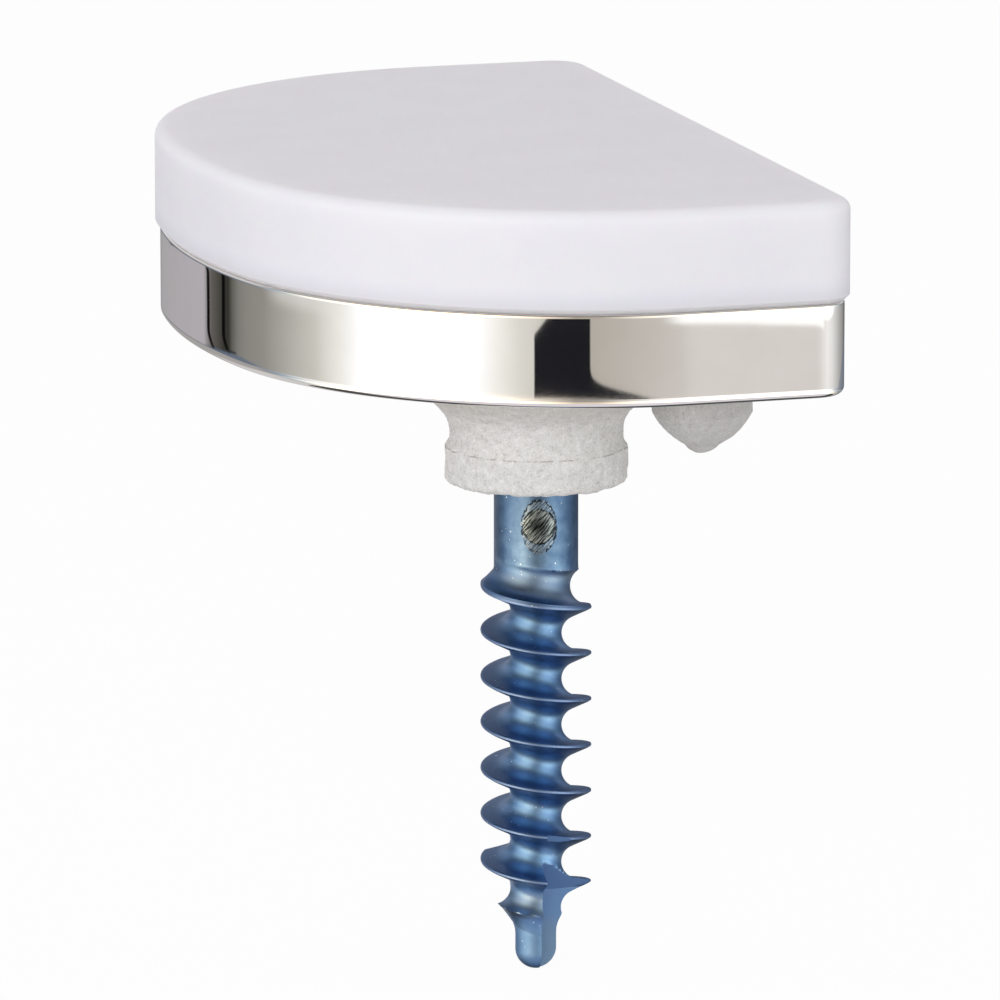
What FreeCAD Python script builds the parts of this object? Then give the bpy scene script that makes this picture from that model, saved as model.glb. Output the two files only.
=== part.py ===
import FreeCAD, Part
import math
import os
from FreeCAD import Vector

# Tibial component of a unicompartmental knee prosthesis, in millimetres.
# The origin is on the screw axis at the bone face, +Z points up to the bearing face
# and the straight side of the D looks along +X.

# Plan of the bearing insert, a D
plan_length = 54.8
plan_width = 33.0
bulge_radius = 52.4
shoulder_radius = 22.6
corner_radius = 2.3
straight_side_x = 16.5
front_end_y = -9.95

# Metal tray
tray_height = 5.54
tray_setback = 0.3
tray_bottom_round = 0.5
tray_top_round = 0.15
rim_width = 2.4
pocket_depth = 2.55
pocket_corner = 0.8

# Snap lock between the tray and the insert
lock_height = 0.8
lock_drop = 0.75
lock_depth = 0.35
rib_engagement = 0.25

# Polyethylene insert
insert_thickness = 6.02
insert_top_round = 0.75
insert_bottom_chamfer = 0.35
plug_clearance = 0.1
plug_chamfer = 0.3

# Porous coating on everything that meets the bone
coating_thickness = 0.5
coating_margin = 1.6

# Boss round the screw
boss_height = 5.75
boss_land_radius = 5.32
boss_land_height = 2.1
boss_waist_radius = 5.06
boss_waist_rise = 0.65
boss_neck_radius = 5.42
boss_foot_height = 1.55
boss_edge_round = 0.4
boss_core_radius = 4.6

# Peg beside the boss
peg_x = 10.15
peg_y = 0.0
peg_height = 4.7
peg_radius = 2.95
peg_cone_height = 2.5
peg_tip_radius = 1.3
peg_tip_angle = 37.0
peg_cone_bulge = 0.16

# Screw hole
bore_radius = 3.4
seat_clearance = 0.05

# Bone screw
head_radius = 4.0
head_sink = 0.2
head_rim_height = 1.4
socket_across_flats = 3.5
socket_depth = 2.6
socket_chamfer = 0.15
shank_radius = 2.465
thread_radius = 3.25
root_radius = 1.5
thread_pitch = 2.75
crest_width = 0.2
trailing_flank = 5.0
leading_flank = 25.0
thread_start_z = -11.05
thread_end_z = -30.08
thread_end_slope = 45.0
nose_radius = 1.22
screw_tip_z = -35.02
first_crest_z = -11.92
first_crest_angle = 163.07

# Cutting flutes at the tip of the screw
flute_count = 2
flute_offset = 0.15
flute_top_z = -29.67
flute_runout_angle = 48.0
flute_angle = -6.93

# How far the cutting bodies reach past what they cut
margin = 1.0
overcut = 0.05

rim_top = tray_height
pocket_floor = tray_height - pocket_depth
insert_top = rim_top + insert_thickness
plan_centre_y = front_end_y + plan_length / 2


def polar(radius, angle, z=0.0):
    """Point at a radius and an angle in degrees round the screw axis."""
    turn = math.radians(angle)
    return Vector(radius * math.cos(turn), radius * math.sin(turn), z)


def d_outline(inset, corner, z):
    """The D, moved inwards by inset: a flat side, two flat ends, two shoulders and a bulge."""
    half = plan_length / 2 - inset
    right = straight_side_x - inset
    bulge = bulge_radius - inset
    shoulder = shoulder_radius - inset
    bulge_x = straight_side_x - plan_width + bulge_radius
    shoulder_y = plan_length / 2 - shoulder_radius
    gap = bulge_radius - shoulder_radius
    shoulder_x = bulge_x - math.sqrt(gap * gap - shoulder_y * shoulder_y)
    tilt = math.atan2(shoulder_y, bulge_x - shoulder_x)
    diagonal = corner * (1 - math.sqrt(0.5))
    mid = (tilt + math.pi / 2) / 2

    def at(x, y):
        return Vector(x, plan_centre_y + y, z)

    def on_shoulder(angle, side):
        x = shoulder_x - shoulder * math.cos(angle)
        return at(x, side * (shoulder_y + shoulder * math.sin(angle)))

    low_corner = (right - corner, -half)
    edges = [
        Part.LineSegment(on_shoulder(math.pi / 2, -1), at(*low_corner)),
        Part.Arc(
            at(*low_corner),
            at(right - diagonal, -half + diagonal),
            at(right, -half + corner),
        ),
        Part.LineSegment(at(right, -half + corner), at(right, half - corner)),
        Part.Arc(
            at(right, half - corner),
            at(right - diagonal, half - diagonal),
            at(right - corner, half),
        ),
        Part.LineSegment(at(right - corner, half), on_shoulder(math.pi / 2, 1)),
        Part.Arc(on_shoulder(math.pi / 2, 1), on_shoulder(mid, 1), on_shoulder(tilt, 1)),
        Part.Arc(on_shoulder(tilt, 1), at(bulge_x - bulge, 0), on_shoulder(tilt, -1)),
        Part.Arc(on_shoulder(tilt, -1), on_shoulder(mid, -1), on_shoulder(math.pi / 2, -1)),
    ]
    return Part.Wire([edge.toShape() for edge in edges])


def slab(inset, corner, low, high):
    """A flat piece with the plan of the D between two heights."""
    face = Part.Face(d_outline(inset, corner, low))
    return face.extrude(Vector(0, 0, high - low))


def edges_at(shape, z):
    """The edges that lie wholly in one level plane."""
    return [
        edge
        for edge in shape.Edges
        if abs(edge.BoundBox.ZMin - z) < 1e-4 and abs(edge.BoundBox.ZMax - z) < 1e-4
    ]


def turned(parts):
    """A solid of revolution about the Z axis from curves in the XZ plane."""
    wire = Part.Wire([part.toShape() for part in parts])
    return Part.Face(wire).revolve(Vector(0, 0, 0), Vector(0, 0, 1), 360)


def line(start, end):
    return Part.LineSegment(Vector(start[0], 0, start[1]), Vector(end[0], 0, end[1]))


def arc(start, middle, end):
    points = [Vector(r, 0, z) for r, z in (start, middle, end)]
    return Part.Arc(*points)


def chain(points):
    """Straight lines from point to point."""
    return [line(a, b) for a, b in zip(points, points[1:])]


def quarter(centre, radius, angle):
    """Point of a circle in the XZ plane."""
    turn = math.radians(angle)
    return (centre[0] + radius * math.cos(turn), centre[1] + radius * math.sin(turn))


def waist_middle(waist, end):
    """Middle of the arc that leaves the waist upright and reaches the end point."""
    across = end[0] - waist[0]
    along = end[1] - waist[1]
    radius = (across * across + along * along) / (2 * across)
    turn = math.atan2(along, radius - across) / 2
    return (waist[0] + radius * (1 - math.cos(turn)), waist[1] + radius * math.sin(turn))


def boss_outside():
    """Outside of the coated boss: flared foot, waist, step, land and rounded lower edge."""
    top = coating_thickness
    bottom = -boss_height
    foot = (boss_neck_radius + boss_foot_height, 0.0)
    neck = (boss_neck_radius, -boss_foot_height)
    step = (boss_land_radius, bottom + boss_land_height)
    waist = (boss_waist_radius, step[1] + boss_waist_rise)
    round_centre = (boss_land_radius - boss_edge_round, bottom + boss_edge_round)
    round_end = (boss_land_radius - boss_edge_round, bottom)
    return turned(
        chain([(0.0, bottom), (0.0, top), (foot[0], top), foot, neck])
        + [
            arc(neck, waist_middle(waist, neck), waist),
            arc(waist, waist_middle(waist, step), step),
            line(step, (boss_land_radius, round_centre[1])),
            arc(
                (boss_land_radius, round_centre[1]),
                quarter(round_centre, boss_edge_round, -45),
                round_end,
            ),
            line(round_end, (0.0, bottom)),
        ]
    )


def boss_core():
    """Solid metal inside the coated boss."""
    height = boss_height + coating_thickness
    return Part.makeCylinder(boss_core_radius, height, Vector(0, 0, -boss_height))


def peg_body(skin):
    """The peg, or its metal core where skin is the coating's thickness."""
    radius = peg_radius - skin
    shoulder = peg_cone_height - peg_height
    tip = -peg_height + skin
    centre = (0.0, tip + peg_tip_radius)
    touch = quarter(centre, peg_tip_radius, -peg_tip_angle)
    low = quarter(centre, peg_tip_radius, -(90 + peg_tip_angle) / 2)
    middle = (
        (radius + touch[0]) / 2 + peg_cone_bulge,
        (shoulder + touch[1]) / 2 - peg_cone_bulge,
    )
    peg = turned(
        [
            line((0.0, tip), (0.0, coating_thickness)),
            line((0.0, coating_thickness), (radius, coating_thickness)),
            line((radius, coating_thickness), (radius, shoulder)),
            arc((radius, shoulder), middle, touch),
            arc(touch, low, (0.0, tip)),
        ]
    )
    peg.translate(Vector(peg_x, peg_y, 0))
    return peg


def head_centre():
    """Height of the centre of the ball under the screw head."""
    return pocket_floor - head_sink - head_rim_height


def screw_hole():
    """Ball seat for the head and clearance bore for the thread."""
    centre = head_centre()
    ball = head_radius + seat_clearance
    drop = math.sqrt(ball * ball - bore_radius * bore_radius)
    low_angle = -math.degrees(math.acos(bore_radius / ball))
    return turned(
        chain(
            [
                (bore_radius, centre - drop),
                (bore_radius, -boss_height - margin),
                (0.0, -boss_height - margin),
                (0.0, pocket_floor + margin),
                (ball, pocket_floor + margin),
                (ball, centre),
            ]
        )
        + [
            arc(
                (ball, centre),
                quarter((0.0, centre), ball, low_angle / 2),
                (bore_radius, centre - drop),
            )
        ]
    )


def make_tray():
    """Polished metal tray with its pocket, lock groove, boss core and peg core."""
    plan_corner = corner_radius - tray_setback
    plate = slab(tray_setback, plan_corner, 0.0, rim_top)
    plate = plate.makeFillet(tray_bottom_round, edges_at(plate, 0.0))
    plate = plate.makeFillet(tray_top_round, edges_at(plate, rim_top))
    pocket = slab(rim_width, pocket_corner, pocket_floor, rim_top + margin)
    groove_top = rim_top - lock_drop
    groove = slab(
        rim_width - lock_depth, pocket_corner, groove_top - lock_height, groove_top
    )
    recess = slab(coating_margin, pocket_corner, -margin, coating_thickness)
    tray = plate.cut(recess).cut(pocket).cut(groove)
    return tray.fuse([boss_core(), peg_body(coating_thickness)]).cut(screw_hole())


def make_coating():
    """Porous layer on the underside, the boss and the peg."""
    pad = slab(coating_margin, pocket_corner, 0.0, coating_thickness)
    outside = pad.fuse([boss_outside(), peg_body(0.0)])
    reach = slab(coating_margin, pocket_corner, -boss_height - margin, coating_thickness)
    cores = boss_core().fuse(peg_body(coating_thickness))
    return outside.common(reach).cut(cores)


def make_insert():
    """Polyethylene bearing with a plug and a snap rib that sit in the tray."""
    bearing = slab(0.0, corner_radius, rim_top, insert_top)
    bearing = bearing.makeFillet(insert_top_round, edges_at(bearing, insert_top))
    bearing = bearing.makeChamfer(insert_bottom_chamfer, edges_at(bearing, rim_top))
    plug_inset = rim_width + plug_clearance
    plug_bottom = pocket_floor + plug_clearance
    plug = slab(plug_inset, pocket_corner, plug_bottom, rim_top)
    plug = plug.makeChamfer(plug_chamfer, edges_at(plug, plug_bottom))
    rib_top = rim_top - lock_drop - plug_clearance
    rib_low = rim_top - lock_drop - lock_height + plug_clearance
    rib = slab(rim_width - rib_engagement, pocket_corner, rib_low, rib_top)
    return bearing.fuse([plug, rib])


def screw_blank():
    """The screw before its thread: head, shank, thread blank and round nose."""
    centre = head_centre()
    head_top = pocket_floor - head_sink
    drop = math.sqrt(head_radius * head_radius - shank_radius * shank_radius)
    ball_angle = -math.degrees(math.acos(shank_radius / head_radius))
    start_rise = thread_radius - shank_radius
    end_fall = (thread_radius - nose_radius) / math.tan(math.radians(thread_end_slope))
    nose_centre = (0.0, screw_tip_z + nose_radius)
    outline = [
        (0.0, screw_tip_z),
        (0.0, head_top),
        (head_radius, head_top),
        (head_radius, centre),
    ]
    under_head = arc(
        (head_radius, centre),
        quarter((0.0, centre), head_radius, ball_angle / 2),
        (shank_radius, centre - drop),
    )
    shaft = [
        (shank_radius, centre - drop),
        (shank_radius, thread_start_z),
        (thread_radius, thread_start_z - start_rise),
        (thread_radius, thread_end_z),
        (nose_radius, thread_end_z - end_fall),
        (nose_radius, nose_centre[1]),
    ]
    nose = arc(
        (nose_radius, nose_centre[1]),
        quarter(nose_centre, nose_radius, -45),
        (0.0, screw_tip_z),
    )
    return turned(chain(outline) + [under_head] + chain(shaft) + [nose])


def groove_section(lift):
    """Section of the thread groove above one crest: steep flank, round root, sloping flank."""
    steep = math.tan(math.radians(trailing_flank))
    slope = math.tan(math.radians(leading_flank))
    depth = thread_radius - root_radius
    low = crest_width / 2
    high = thread_pitch - crest_width / 2
    floor = high - low - depth * (steep + slope)
    low_turn = math.radians(90 - trailing_flank) / 2
    high_turn = math.radians(90 - leading_flank) / 2
    radius = floor / (math.tan(low_turn) + math.tan(high_turn))
    centre = (low + depth * steep + radius * math.tan(low_turn), root_radius + radius)

    def touch(side, angle):
        turn = math.radians(angle)
        u = centre[0] + side * radius * math.cos(turn)
        return (centre[1] - radius * math.sin(turn) + lift, u)

    low_touch = touch(-1, trailing_flank)
    high_touch = touch(1, leading_flank)
    outer = thread_radius + overcut + lift
    low_end = (outer, low - overcut * steep)
    high_end = (outer, high + overcut * slope)
    parts = [
        line(low_end, low_touch),
        arc(low_touch, (root_radius + lift, centre[0]), high_touch),
        line(high_touch, high_end),
        line(high_end, low_end),
    ]
    return Part.Wire([part.toShape() for part in parts])


def swept_groove(height, lift_low, lift_high):
    """The groove wound left-handed round the axis, its root moved outwards from bottom to top."""
    rise = lift_high - lift_low
    slant = math.hypot(rise, height) / height
    helix = Part.makeHelix(
        thread_pitch * slant,
        height * slant,
        root_radius + lift_low,
        math.degrees(math.atan(rise / height)),
        True,
    )
    path = Part.Wire(helix.Edges)
    sweep = Part.BRepOffsetAPI.MakePipeShell(path)
    sweep.setBiNormalMode(Vector(0, 0, 1))
    sweep.add(groove_section(lift_low), path.OrderedVertexes[0])
    sweep.build()
    sweep.makeSolid()
    return sweep.shape()


def thread_grooves():
    """Full-depth groove along the thread and a turn that runs out on the shank."""
    full_top = first_crest_z - thread_pitch
    length = full_top - thread_end_z + thread_radius - nose_radius
    full_height = math.ceil(length / thread_pitch) * thread_pitch
    full = swept_groove(full_height, 0.0, 0.0)
    full.translate(Vector(0, 0, full_top - full_height))
    fade = swept_groove(thread_pitch, 0.0, shank_radius - root_radius)
    fade.translate(Vector(0, 0, full_top))
    for groove in (full, fade):
        groove.rotate(Vector(0, 0, 0), Vector(0, 0, 1), first_crest_angle)
    return [full, fade]


def hex_socket():
    """Hexagonal drive socket with a chamfered mouth."""
    top = pocket_floor - head_sink
    across_corners = socket_across_flats / math.cos(math.radians(30))
    corners = [polar(across_corners / 2, 60 * i, top - socket_depth) for i in range(7)]
    prism = Part.Face(Part.makePolygon(corners)).extrude(
        Vector(0, 0, socket_depth + margin)
    )
    mouth = Part.makeCone(
        across_corners / 2 - socket_chamfer,
        across_corners / 2 + socket_chamfer,
        2 * socket_chamfer,
        Vector(0, 0, top - socket_chamfer),
    )
    return prism.fuse(mouth)


def flute(angle):
    """One flute: a flat face through the axis and a slanted face that ends it at the top."""
    reach = thread_radius + margin
    low = screw_tip_z - margin
    slant_top = flute_top_z + reach / math.tan(math.radians(flute_runout_angle))
    corners = [(0.0, low), (0.0, flute_top_z), (-reach, slant_top), (-reach, low), (0.0, low)]
    outline = Part.makePolygon([Vector(flute_offset, y, z) for y, z in corners])
    cut = Part.Face(outline).extrude(Vector(reach, 0, 0))
    cut.rotate(Vector(0, 0, 0), Vector(0, 0, 1), angle)
    return cut


def make_screw():
    """Cancellous bone screw."""
    screw = screw_blank()
    for groove in thread_grooves():
        screw = screw.cut(groove)
    flutes = [flute(flute_angle + 360 * i / flute_count) for i in range(flute_count)]
    return screw.cut(flutes).cut(hex_socket())


def save(name, shape):
    shape.exportStep("parts/" + name + ".step")
    box = shape.BoundBox
    print(
        name,
        "solids",
        len(shape.Solids),
        "valid",
        shape.isValid(),
        "volume",
        round(shape.Volume, 2),
        "z",
        round(box.ZMin, 2),
        round(box.ZMax, 2),
    )


os.makedirs("parts", exist_ok=True)
save("tibial_tray", make_tray())
save("porous_coating", make_coating())
save("bearing_insert", make_insert())
save("fixation_screw", make_screw())
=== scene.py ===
"""Tibial component of a unicompartmental knee prosthesis, dressed for its picture.

Sizes are in millimetres, as in the part's source, and become metres when a mesh is made.
"""

import math

import bmesh
import bpy
import numpy as np
from mathutils import Matrix, Vector


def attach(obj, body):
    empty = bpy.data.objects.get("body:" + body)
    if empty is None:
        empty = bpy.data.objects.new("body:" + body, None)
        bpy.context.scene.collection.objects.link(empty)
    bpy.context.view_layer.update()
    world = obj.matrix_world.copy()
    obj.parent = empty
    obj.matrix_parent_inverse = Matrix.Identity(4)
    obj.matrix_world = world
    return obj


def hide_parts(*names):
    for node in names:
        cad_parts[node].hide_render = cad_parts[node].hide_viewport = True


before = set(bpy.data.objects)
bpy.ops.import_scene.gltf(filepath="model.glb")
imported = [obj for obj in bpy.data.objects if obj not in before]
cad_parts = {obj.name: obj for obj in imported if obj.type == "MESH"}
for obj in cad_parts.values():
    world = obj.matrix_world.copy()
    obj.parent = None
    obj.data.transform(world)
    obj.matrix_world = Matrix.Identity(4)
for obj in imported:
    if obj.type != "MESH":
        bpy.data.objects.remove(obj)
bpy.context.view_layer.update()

MM = 0.001
merge_metres = 2e-7
shortest_metres = 1e-7

# Plan of the D
plan_length = 54.8
plan_width = 33.0
bulge_radius = 52.4
shoulder_radius = 22.6
corner_radius = 2.3
straight_side_x = 16.5
front_end_y = -9.95

# Tray
rim_top = 5.54
pocket_floor = 2.99
tray_setback = 0.3
tray_bottom_round = 0.5
tray_top_round = 0.15
rim_width = 2.4
pocket_corner = 0.8
lock_top = 4.79
lock_low = 3.99
lock_depth = 0.35

# Insert
insert_top = 11.56
insert_top_round = 0.75
insert_bottom_chamfer = 0.35
plug_inset = 2.5
plug_bottom = 3.09
plug_chamfer = 0.3
rib_inset = 2.15
rib_top = 4.69
rib_low = 4.09

# Porous coating, boss and peg
coating_thickness = 0.5
coating_margin = 1.6
boss_bottom = -5.75
boss_land_radius = 5.32
boss_step_z = -3.65
boss_waist_radius = 5.06
boss_waist_z = -3.0
boss_neck_radius = 5.42
boss_foot_height = 1.55
boss_edge_round = 0.4
boss_core_radius = 4.6
peg_x = 10.15
peg_radius = 2.95
peg_shoulder_z = -2.2
peg_tip_z = -4.7
peg_tip_radius = 1.3
peg_tip_angle = 37.0
peg_tip_end = 86.0
peg_cone_bulge = 0.16
boss_grain = 0.07
peg_grain = 0.03
pad_grain = 0.03
grain_rise = 0.3
grain_layers = ((1.1, 0.0, 0.75), (0.5, 17.3, 0.24), (0.3, 5.9, 0.12))
boss_columns = 400
peg_columns = 220
pad_rings = 40
profile_step = 0.08

# Screw hole and screw
bore_radius = 3.4
seat_radius = 4.05
head_radius = 4.0
head_centre_z = 1.39
head_top_z = 2.79
socket_across_flats = 3.5
socket_depth = 2.6
shank_radius = 2.465
thread_radius = 3.25
root_radius = 1.5
thread_pitch = 2.75
crest_width = 0.2
trailing_flank = 5.0
leading_flank = 25.0
thread_start_z = -11.05
thread_end_z = -30.08
nose_radius = 1.22
screw_tip_z = -35.02
first_crest_z = -11.92
first_crest_angle = 163.07
flute_angle = -6.93
flute_offset = 0.15
flute_top_z = -30.3
flute_slope = 0.78
flute_reach = 4.5
face_slack = 0.012
crest_round = 0.06
run_in_widening = 0.62
run_out_turn = 7.65
corner_blend = 0.8
flank_rows = 7
root_rows = 17
land_places = (0.8, 0.45, 0.0, -0.45, -0.8)
rows_per_turn = 2 * flank_rows + root_rows - 2 + len(land_places)
no_limit = 99.0
halvings = 30

# Bare spot on the front of the shank
spot_z = -8.05
spot_shift = 0.165
spot_width = 2.12
spot_height = 3.3
spot_core_width = 1.88
spot_core_height = 2.06

# Camera, lamps and surroundings
view_azimuth = -16.927
view_elevation = 11.511
view_distance = 600.0
view_lens = 370.44
view_aim = (-2.01, 0.612, -6.956)
floor_z = -35.02
floor_half = 4000.0
floor_whiteness = 0.96
curtain_radius = 120.0
curtain_low = -110.0
curtain_high = 90.0
tray_band_low = -20.95
tray_band_high = -14.6
band_lift = 0.9

# Shapes in the band: angles in degrees to the right of the front, levels in millimetres.
# Bent things give the level where a bend starts, its span and its degrees after one span
upright_places = ((-134.7, 1.5), (-129.6, 0.5))
upright_half = 0.5
upright_top = -16.1
upright_foot = -19.6
upright_foot_span = 0.9
upright_foot_turn = 0.8
top_line_level = -14.91
foot_line_level = -20.83
line_half = 0.07
opening_left = -12.65
opening_right = 4.55
cut_level = -16.6
cut_turn = 3.3
sweep_level = -18.2
sweep_span = 2.3
sweep_turn = 12.5


# Meshes


def new_mesh(name, points, faces, material):
    """A mesh in metres from points in millimetres."""
    mesh = bpy.data.meshes.new(name)
    mesh.from_pydata((points * MM).tolist(), [], faces.tolist())
    mesh.materials.append(material)
    return mesh


def new_object(name, data):
    """An object of the scene that holds a mesh, a lamp or a camera."""
    made = bpy.data.objects.new(name, data)
    bpy.context.scene.collection.objects.link(made)
    return made


def make_piece(name, points, faces, material, body, node, slot, sharp=30.0):
    """A smooth piece on its body, with doubled points merged and sharp edges marked."""
    mesh = new_mesh(name, points, faces, material)
    work = bmesh.new()
    work.from_mesh(mesh)
    bmesh.ops.remove_doubles(work, verts=work.verts, dist=merge_metres)
    bmesh.ops.dissolve_degenerate(work, edges=work.edges, dist=shortest_metres)
    work.to_mesh(mesh)
    work.free()
    mesh.polygons.foreach_set("use_smooth", np.ones(len(mesh.polygons), bool))
    if sharp:
        mesh.set_sharp_from_angle(angle=math.radians(sharp))
    mesh.update()
    piece = new_object(name, mesh)
    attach(piece, body)
    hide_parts(node)
    return piece


def tube_faces(rows, columns, shift=0):
    """Quads of a grid that closes on itself sideways, with the last column met shift rows up."""
    row, column = np.meshgrid(np.arange(rows - 1), np.arange(columns), indexing="ij")
    beyond = (column + 1) // columns
    right = (column + 1) % columns
    low = np.minimum(row + shift * beyond, rows - 1)
    high = np.minimum(row + 1 + shift * beyond, rows - 1)
    quads = np.stack(
        [
            row * columns + column,
            (row + 1) * columns + column,
            high * columns + right,
            low * columns + right,
        ],
        axis=-1,
    )
    return quads.reshape(-1, 4)


def open_shell(rings, shift=0):
    """Points and quads of a stack of rings."""
    return rings.reshape(-1, 3), tube_faces(len(rings), rings.shape[1], shift)


def ring_shell(rings):
    """Points and quads of a closed loop of rings: the last ring is joined to the first."""
    return open_shell(np.concatenate([rings, rings[:1]]))


def capped_rings(rings):
    """Points and quads of a stack of rings with a middle point at each end."""
    first = np.broadcast_to(rings[0].mean(axis=0), rings[0].shape)
    last = np.broadcast_to(rings[-1].mean(axis=0), rings[-1].shape)
    return open_shell(np.concatenate([first[None], rings, last[None]]))


def joined(*parts):
    """Several shells as one set of points and faces."""
    points, faces, start = [], [], 0
    for more_points, more_faces in parts:
        points.append(more_points)
        faces.append(more_faces + start)
        start += len(more_points)
    return np.concatenate(points), np.concatenate(faces)


def outwards(points, faces):
    """Turns the faces round where the signed volume of the shell is negative."""
    a, b, c, d = (points[faces[:, i]] for i in range(4))
    volume = np.einsum("ij,ij->i", a, np.cross(b, c)) + np.einsum("ij,ij->i", a, np.cross(c, d))
    return (points, faces if volume.sum() > 0 else faces[:, ::-1])


# Plan of the D


def arc_points(centre, radius, start, end, count=12):
    """Points of an arc in a plane from one angle in degrees to another."""
    angle = np.radians(np.linspace(start, end, count + 1))
    return np.stack([centre[0] + radius * np.cos(angle), centre[1] + radius * np.sin(angle)], -1)


def front_shoulder_x():
    """Middle of the shoulder arcs: both touch the bulge arc from inside."""
    bulge_x = straight_side_x - plan_width + bulge_radius
    gap = bulge_radius - shoulder_radius
    return bulge_x - math.sqrt(gap**2 - (plan_length / 2 - shoulder_radius) ** 2)


def d_points(inset, corner):
    """The D moved inwards: straight runs are lines, roundings are arcs about fixed centres."""
    half = plan_length / 2 - inset
    right = straight_side_x - inset
    bulge_x = straight_side_x - plan_width + bulge_radius
    shoulder_y = plan_length / 2 - shoulder_radius
    shoulder_x = front_shoulder_x()
    tilt = math.degrees(math.atan2(shoulder_y, bulge_x - shoulder_x))

    def run(start, end, count):
        t = np.arange(count)[:, None] / count
        return np.array(start) * (1 - t) + np.array(end) * t

    def turn(*arc):
        return arc_points(*arc)[:-1]

    shoulder = shoulder_radius - inset
    bulge = bulge_radius - inset
    outline = np.concatenate(
        [
            run((shoulder_x, -half), (right - corner, -half), 24),
            turn((right - corner, -half + corner), corner, -90, 0, 16),
            run((right, -half + corner), (right, half - corner), 90),
            turn((right - corner, half - corner), corner, 0, 90, 16),
            run((right - corner, half), (shoulder_x, half), 24),
            turn((shoulder_x, shoulder_y), shoulder, 90, 180 - tilt, 72),
            turn((bulge_x, 0), bulge, 180 - tilt, 180 + tilt, 48),
            turn((shoulder_x, -shoulder_y), shoulder, 180 + tilt, 270, 72),
        ]
    )
    return outline + (0, front_end_y + plan_length / 2)


def d_ring(inset, corner, z):
    """The D moved inwards, at a height."""
    plan = d_points(inset, corner)
    return np.concatenate([plan, np.full((len(plan), 1), z)], axis=1)


def pocket_rings(*line):
    """Rings with the pocket's corners from (inset, height) pairs."""
    return [d_ring(inset, pocket_corner, z) for inset, z in line]


def round_ring(radius, z):
    """A circle about the screw axis whose points face those of the D."""
    plan = d_points(0.0, corner_radius)
    angle = np.arctan2(plan[:, 1], plan[:, 0])
    height = np.full(len(plan), z)
    return np.stack([radius * np.cos(angle), radius * np.sin(angle), height], axis=-1)


def d_rounding(setback, corner, z, radius, start, end, steps=8):
    """Rings round a rolled edge: inset and height go along a quarter circle."""
    angles = np.radians(np.linspace(start, end, steps + 1))
    return [
        d_ring(
            setback + radius * (1 - math.cos(a)),
            corner - radius * (1 - math.cos(a)),
            z + radius * math.sin(a),
        )
        for a in angles
    ]


def d_wall(setback, corner, low, high, rows=6):
    """Rings up an upright wall, closer together next to its ends."""
    t = (1 - np.cos(np.linspace(0, np.pi, rows + 1)[1:-1])) / 2
    return [d_ring(setback, corner, low + (high - low) * u) for u in t]


# Pieces


def bearing_insert(material):
    """The D profile swept round the plan: plug, rib, chamfer, wall, rolled top edge, flat top."""
    wall_low = rim_top + insert_bottom_chamfer
    wall_high = insert_top - insert_top_round
    rings = (
        [d_ring(plug_inset + plug_chamfer, pocket_corner - plug_chamfer, plug_bottom)]
        + pocket_rings(
            (plug_inset, plug_bottom + plug_chamfer), (plug_inset, rib_low),
            (rib_inset, rib_low), (rib_inset, rib_top),
            (plug_inset, rib_top), (plug_inset, rim_top),
        )
        + [d_ring(insert_bottom_chamfer, corner_radius - insert_bottom_chamfer, rim_top)]
        + [d_ring(0.0, corner_radius, wall_low)]
        + d_wall(0.0, corner_radius, wall_low, wall_high, 8)
        + d_rounding(0.0, corner_radius, wall_high, insert_top_round, 0, 90, 12)
    )
    points, faces = outwards(*capped_rings(np.array(rings)))
    return make_piece("insert", points, faces, material, "tray", "bearing_insert", "polyethylene")


def tibial_tray(material):
    """One closed loop of rings: recess, underside rim, wall, rim top, pocket, seat, bore, core."""
    corner = corner_radius - tray_setback
    wall_low = tray_bottom_round
    wall_high = rim_top - tray_top_round
    seat_end = -math.degrees(math.acos(bore_radius / seat_radius))
    seat_arc = arc_points((0.0, head_centre_z), seat_radius, 0, seat_end, 8)
    lock_inset = rim_width - lock_depth
    rings = (
        pocket_rings((coating_margin, coating_thickness), (coating_margin, 0.0))
        + d_rounding(tray_setback, corner, wall_low, tray_bottom_round, -90, 0, 10)
        + d_wall(tray_setback, corner, wall_low, wall_high, 12)
        + d_rounding(tray_setback, corner, wall_high, tray_top_round, 0, 90, 6)
        + pocket_rings(
            (rim_width, rim_top), (rim_width, lock_top),
            (lock_inset, lock_top), (lock_inset, lock_low),
            (rim_width, lock_low), (rim_width, pocket_floor),
        )
        + [round_ring(seat_radius, pocket_floor)]
        + [round_ring(*point) for point in seat_arc]
        + [
            round_ring(bore_radius, boss_bottom),
            round_ring(boss_core_radius, boss_bottom),
            round_ring(boss_core_radius, coating_thickness),
        ]
    )
    points, faces = outwards(*ring_shell(np.array(rings)))
    return make_piece("tray", points, faces, material, "tray", "tibial_tray", "polished_alloy")


grain_table = np.random.default_rng(11).random((64, 64, 64)) * 2 - 1


def grain(points, size):
    """Smooth random field from -1 to 1: values at the corners of cubes, blended by 3t^2 - 2t^3."""
    place = points / size
    cell = np.floor(place).astype(int)
    t = place - cell
    t = t * t * (3 - 2 * t)
    total = np.zeros(len(points))
    for corner in np.ndindex(2, 2, 2):
        weight = np.prod(np.where(corner, t, 1 - t), axis=1)
        index = (cell + corner) % 64
        total += weight * grain_table[index[:, 0], index[:, 1], index[:, 2]]
    return total


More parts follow.
